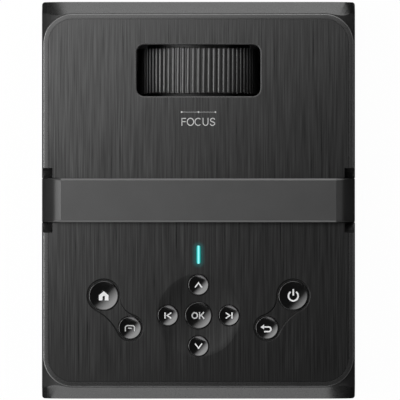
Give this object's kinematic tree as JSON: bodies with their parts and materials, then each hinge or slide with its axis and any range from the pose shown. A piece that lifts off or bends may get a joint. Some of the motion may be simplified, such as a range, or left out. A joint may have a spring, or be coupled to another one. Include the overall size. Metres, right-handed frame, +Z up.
{
  "type": "video projector",
  "caption": "Compact box-shaped video projector with a pull-up carrying handle over a brushed top panel, a ribbed focus ring in a top window, a key pad, a front lens and rear sockets.",
  "frame": {"origin": "on the table under the middle of the case, at the foot plane", "axes": "+Y towards the front, where the lens looks out; +Z up; +X to the right seen from the rear"},
  "size_m": [0.158, 0.2, 0.088],
  "materials": {
    "case_plastic": "fine matt moulding grain",
    "handle_plastic": "satin moulding",
    "brushed_panel": "dark brushed hairline finish, front to rear",
    "bezel_metal": "dark anodised",
    "grille_metal": "matt black paint",
    "foot_rubber": "matt",
    "insert_brass": "machined",
    "steel": "plain",
    "key_gloss": "polished piano black",
    "board": "solder mask",
    "component_plastic": "matt",
    "light_pipe": "translucent, lit",
    "ring_plastic": "satin ribs",
    "lens_glass": "coated",
    "fresnel_plastic": "clear acrylic",
    "display": "polarising film",
    "led_board": "metal-core board",
    "sink_aluminium": "extruded",
    "coil": "enamelled wire",
    "ir_plastic": "dark infrared filter"
  },
  "bodies": {
    "chassis": {"base_shell": "case_plastic", "top_housing": "case_plastic", "rear_panel": "case_plastic", "engine_housing": "case_plastic", "lens_tube": "case_plastic", "left_fan_frame": "case_plastic", "right_fan_frame": "case_plastic", "top_panel": "brushed_panel", "dpad_dish": "brushed_panel", "lens_bezel": "bezel_metal", "left_fan_grille": "grille_metal", "right_fan_grille": "grille_metal", "left_speaker_grille": "grille_metal", "right_speaker_grille": "grille_metal", "rubber_feet": "foot_rubber", "tripod_insert": "insert_brass", "case_screws": "steel", "ring_clip": "steel", "hdmi_socket": "steel", "usb_socket": "steel", "key_board": "board", "main_board": "board", "key_switches": "component_plastic", "av_jack": "component_plastic", "power_jack": "component_plastic", "ir_receiver": "component_plastic", "left_speaker": "component_plastic", "right_speaker": "component_plastic", "status_light": "light_pipe", "condenser_lens": "lens_glass", "rear_fresnel": "fresnel_plastic", "front_fresnel": "fresnel_plastic", "lcd_panel": "display", "led_module": "led_board", "heat_sink": "sink_aluminium", "left_fan_motor": "coil", "right_fan_motor": "coil", "ir_window": "ir_plastic"},
    "carry_handle": {"handle": "handle_plastic", "handle_sliders": "case_plastic"},
    "focus_control": {"focus_ring": "ring_plastic"},
    "lens_group": {"lens_barrel": "case_plastic", "drive_pins": "steel", "front_lens": "lens_glass", "rear_lens": "lens_glass", "lens_retainer": "case_plastic"},
    "left_fan": {"left_fan_rotor": "case_plastic"},
    "right_fan": {"right_fan_rotor": "case_plastic"},
    "ok_key": {"key_ok": "key_gloss"},
    "up_key": {"key_up": "key_gloss"},
    "down_key": {"key_down": "key_gloss"},
    "previous_key": {"key_previous": "key_gloss"},
    "next_key": {"key_next": "key_gloss"},
    "home_key": {"key_home": "key_gloss"},
    "menu_key": {"key_menu": "key_gloss"},
    "power_key": {"key_power": "key_gloss"},
    "back_key": {"key_back": "key_gloss"}
  },
  "joints": [
    {"name": "handle_lift", "type": "slide", "parent": "chassis", "child": "carry_handle", "axis": [0, 0, 1], "range_m": [0, 0.028]},
    {"name": "lens_focus", "type": "slide", "parent": "chassis", "child": "lens_group", "axis": [0, 1, 0], "range_m": [-0.005, 0.005]},
    {"name": "focus_turn", "type": "hinge", "parent": "chassis", "child": "focus_control", "pos_m": [0, 0.0654, 0.0519], "axis": [0, 1, 0], "range_deg": [-71, 71]},
    {"name": "left_fan_spin", "type": "hinge", "parent": "chassis", "child": "left_fan", "pos_m": [-0.068, -0.048, 0.046], "axis": [1, 0, 0], "continuous": true},
    {"name": "right_fan_spin", "type": "hinge", "parent": "chassis", "child": "right_fan", "pos_m": [0.068, -0.048, 0.046], "axis": [1, 0, 0], "continuous": true},
    {"name": "ok_press", "type": "slide", "parent": "chassis", "child": "ok_key", "axis": [0, 0, -1], "range_m": [0, 0.0005], "stiffness_N_per_m": 600},
    {"name": "up_press", "type": "slide", "parent": "chassis", "child": "up_key", "axis": [0, 0, -1], "range_m": [0, 0.0005], "stiffness_N_per_m": 600},
    {"name": "down_press", "type": "slide", "parent": "chassis", "child": "down_key", "axis": [0, 0, -1], "range_m": [0, 0.0005], "stiffness_N_per_m": 600},
    {"name": "previous_press", "type": "slide", "parent": "chassis", "child": "previous_key", "axis": [0, 0, -1], "range_m": [0, 0.0005], "stiffness_N_per_m": 600},
    {"name": "next_press", "type": "slide", "parent": "chassis", "child": "next_key", "axis": [0, 0, -1], "range_m": [0, 0.0005], "stiffness_N_per_m": 600},
    {"name": "home_press", "type": "slide", "parent": "chassis", "child": "home_key", "axis": [0, 0, -1], "range_m": [0, 0.0005], "stiffness_N_per_m": 600},
    {"name": "menu_press", "type": "slide", "parent": "chassis", "child": "menu_key", "axis": [0, 0, -1], "range_m": [0, 0.0005], "stiffness_N_per_m": 600},
    {"name": "power_press", "type": "slide", "parent": "chassis", "child": "power_key", "axis": [0, 0, -1], "range_m": [0, 0.0005], "stiffness_N_per_m": 600},
    {"name": "back_press", "type": "slide", "parent": "chassis", "child": "back_key", "axis": [0, 0, -1], "range_m": [0, 0.0005], "stiffness_N_per_m": 600}
  ],
  "couplings": [
    {"joint": "focus_turn", "follows": "lens_focus", "rad_per_m": 244.35}
  ]
}
